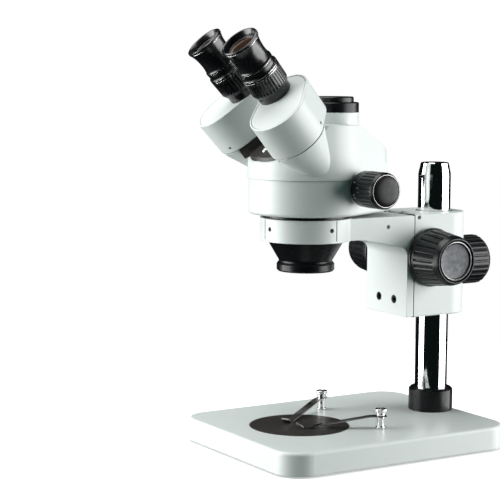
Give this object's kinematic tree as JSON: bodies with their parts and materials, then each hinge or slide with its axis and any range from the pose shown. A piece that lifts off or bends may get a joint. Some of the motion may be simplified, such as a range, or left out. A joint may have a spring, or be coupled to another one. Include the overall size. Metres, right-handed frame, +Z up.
{
  "type": "stereo microscope",
  "caption": "Stereo zoom microscope with two inclined eyepieces and a photo port, in a focusing arm that slides and swings on a pillar stand with a flat base and stage clips.",
  "frame": {"origin": "on the table under the feet, on the left-right symmetry plane, half way between the front of the eyepieces and the back of the pillar lock knob", "axes": "+Z up, +X to the right of the person using it, +Y away from them towards the pillar"},
  "size_m": [0.2, 0.3151, 0.3982],
  "materials": {
    "white_paint": "white enamel over die casting, satin",
    "rubber": "matte",
    "soft_rubber": "matte",
    "black_plate": "satin",
    "chromed_steel": "polished",
    "black_metal": "black anodised, satin",
    "black_plastic": "satin",
    "bright_steel": "polished",
    "dark_steel": "black oxide",
    "steel": "ground",
    "brass": "machined",
    "machined_aluminium": "machined",
    "optical_glass": "coated",
    "mirror": "front-silvered"
  },
  "bodies": {
    "stand": {"base_plate": "white_paint", "rubber_feet": "rubber", "stage_plate": "black_plate", "pillar": "chromed_steel", "pillar_collar": "black_metal", "pillar_bolt": "dark_steel"},
    "clip_left": {"clip_post_left": "bright_steel", "clip_arm_left": "bright_steel"},
    "clip_right": {"clip_post_right": "bright_steel", "clip_arm_right": "bright_steel"},
    "bush": {"pillar_bush": "black_plastic"},
    "focus_block": {"focus_housing": "white_paint", "shaft_bushes": "brass", "gib_strip": "brass"},
    "lock_pad": {"lock_pad": "brass"},
    "lock_knob": {"lock_knob": "black_plastic"},
    "focus_drive": {"pinion_shaft": "steel", "focus_knob_left": "black_plastic", "focus_knob_right": "black_plastic", "focus_caps": "machined_aluminium"},
    "carriage": {"carriage_arm": "white_paint", "dovetail_slide": "machined_aluminium", "rack": "brass", "slide_screws": "dark_steel", "ring_screws": "dark_steel"},
    "head": {"head_nose": "black_metal", "objective_ring": "black_metal", "front_glass": "optical_glass", "head_lower": "white_paint", "head_upper": "white_paint", "guide_rods": "steel", "photo_collar": "black_metal", "brow_plate": "black_plate"},
    "zoom_drive": {"zoom_shaft": "steel", "zoom_knob_left": "black_plastic", "zoom_knob_right": "black_plastic", "zoom_caps": "soft_rubber"},
    "zoom_group_lower": {"zoom_cell_lower": "machined_aluminium", "zoom_lenses_lower": "optical_glass"},
    "zoom_group_upper": {"zoom_cell_upper": "machined_aluminium", "zoom_lenses_upper": "optical_glass"},
    "photo_cap": {"photo_cap": "black_plastic"},
    "splitter": {"splitter_rod": "steel", "splitter_mirror": "mirror"},
    "eye_left": {"prism_housing_left": "white_paint", "prism_cover_left": "white_paint", "prism_left": "optical_glass", "eye_tube_left": "black_metal"},
    "diopter_ring_left": {"diopter_ring_left": "black_metal"},
    "diopter_sleeve_left": {"diopter_sleeve_left": "black_metal"},
    "eyepiece_left": {"eyepiece_left": "black_metal", "eye_lens_left": "optical_glass"},
    "eye_right": {"prism_housing_right": "white_paint", "prism_cover_right": "white_paint", "prism_right": "optical_glass", "eye_tube_right": "black_metal"},
    "diopter_ring_right": {"diopter_ring_right": "black_metal"},
    "diopter_sleeve_right": {"diopter_sleeve_right": "black_metal"},
    "eyepiece_right": {"eyepiece_right": "black_metal", "eye_lens_right": "optical_glass"}
  },
  "joints": [
    {"name": "clip_left_turn", "type": "hinge", "parent": "stand", "child": "clip_left", "pos_m": [-0.05, 0.0036, 0.032], "axis": [0, 0, 1], "range_deg": [-150, 15]},
    {"name": "clip_right_turn", "type": "hinge", "parent": "stand", "child": "clip_right", "pos_m": [0.05, 0.0036, 0.032], "axis": [0, 0, 1], "range_deg": [-15, 150]},
    {"name": "pillar_height", "type": "slide", "parent": "stand", "child": "bush", "axis": [0, 0, 1], "range_m": [-0.07, 0.035]},
    {"name": "pillar_swing", "type": "hinge", "parent": "bush", "child": "focus_block", "pos_m": [0, 0.1011, 0.172], "axis": [0, 0, 1], "continuous": true},
    {"name": "lock_travel", "type": "slide", "parent": "focus_block", "child": "lock_pad", "axis": [0, 1, 0], "range_m": [0, 0.00126]},
    {"name": "lock_turn", "type": "hinge", "parent": "lock_pad", "child": "lock_knob", "pos_m": [0, 0.1411, 0.172], "axis": [0, 1, 0], "range_deg": [0, 360]},
    {"name": "focus_travel", "type": "slide", "parent": "focus_block", "child": "carriage", "axis": [0, 0, 1], "range_m": [-0.025, 0.025]},
    {"name": "focus_turn", "type": "hinge", "parent": "focus_block", "child": "focus_drive", "pos_m": [0, 0.0721, 0.1815], "axis": [1, 0, 0], "range_deg": [-192, 192]},
    {"name": "head_turn", "type": "hinge", "parent": "carriage", "child": "head", "pos_m": [0, -0.0504, 0.212], "axis": [0, 0, 1], "continuous": true},
    {"name": "zoom_turn", "type": "hinge", "parent": "head", "child": "zoom_drive", "pos_m": [0, -0.0219, 0.2523], "axis": [1, 0, 0], "range_deg": [-92, 92]},
    {"name": "zoom_lower_travel", "type": "slide", "parent": "head", "child": "zoom_group_lower", "axis": [0, 0, 1], "range_m": [-0.0081, 0.0081]},
    {"name": "zoom_upper_travel", "type": "slide", "parent": "head", "child": "zoom_group_upper", "axis": [0, 0, 1], "range_m": [-0.0049, 0.0049]},
    {"name": "photo_cap_lift", "type": "slide", "parent": "head", "child": "photo_cap", "axis": [0, 0, 1], "range_m": [0, 0.04]},
    {"name": "splitter_pull", "type": "slide", "parent": "head", "child": "splitter", "axis": [-1, 0, 0], "range_m": [0, 0.01]},
    {"name": "eye_swing_right", "type": "hinge", "parent": "head", "child": "eye_right", "pos_m": [0.04486, -0.09053, 0.29974], "axis": [0.0872, -0.6666, 0.7403], "range_deg": [-16, 20]},
    {"name": "eye_swing_left", "type": "hinge", "parent": "head", "child": "eye_left", "pos_m": [-0.04486, -0.09053, 0.29974], "axis": [-0.0872, -0.6666, 0.7403], "range_deg": [-20, 16]},
    {"name": "diopter_travel_left", "type": "slide", "parent": "eye_left", "child": "diopter_sleeve_left", "axis": [-0.0872, -0.6666, 0.7403], "range_m": [-0.003, 0.003]},
    {"name": "diopter_turn_left", "type": "hinge", "parent": "eye_left", "child": "diopter_ring_left", "pos_m": [-0.02782, -0.11444, 0.35316], "axis": [-0.0872, -0.6666, 0.7403], "range_deg": [-91, 91]},
    {"name": "eyepiece_lift_left", "type": "slide", "parent": "diopter_sleeve_left", "child": "eyepiece_left", "axis": [-0.0872, -0.6666, 0.7403], "range_m": [0, 0.03]},
    {"name": "diopter_travel_right", "type": "slide", "parent": "eye_right", "child": "diopter_sleeve_right", "axis": [0.0872, -0.6666, 0.7403], "range_m": [-0.003, 0.003]},
    {"name": "diopter_turn_right", "type": "hinge", "parent": "eye_right", "child": "diopter_ring_right", "pos_m": [0.02782, -0.11444, 0.35316], "axis": [0.0872, -0.6666, 0.7403], "range_deg": [-91, 91]},
    {"name": "eyepiece_lift_right", "type": "slide", "parent": "diopter_sleeve_right", "child": "eyepiece_right", "axis": [0.0872, -0.6666, 0.7403], "range_m": [0, 0.03]}
  ],
  "couplings": [
    {"joint": "lock_travel", "follows": "lock_turn", "m_per_rad": 0.00019894},
    {"joint": "focus_turn", "follows": "focus_travel", "rad_per_m": -133.33},
    {"joint": "zoom_lower_travel", "follows": "zoom_turn", "m_per_rad": -0.005},
    {"joint": "zoom_upper_travel", "follows": "zoom_turn", "m_per_rad": -0.003},
    {"joint": "eye_swing_left", "follows": "eye_swing_right", "ratio": -1},
    {"joint": "diopter_turn_left", "follows": "diopter_travel_left", "rad_per_m": 523.6},
    {"joint": "diopter_turn_right", "follows": "diopter_travel_right", "rad_per_m": 523.6}
  ]
}
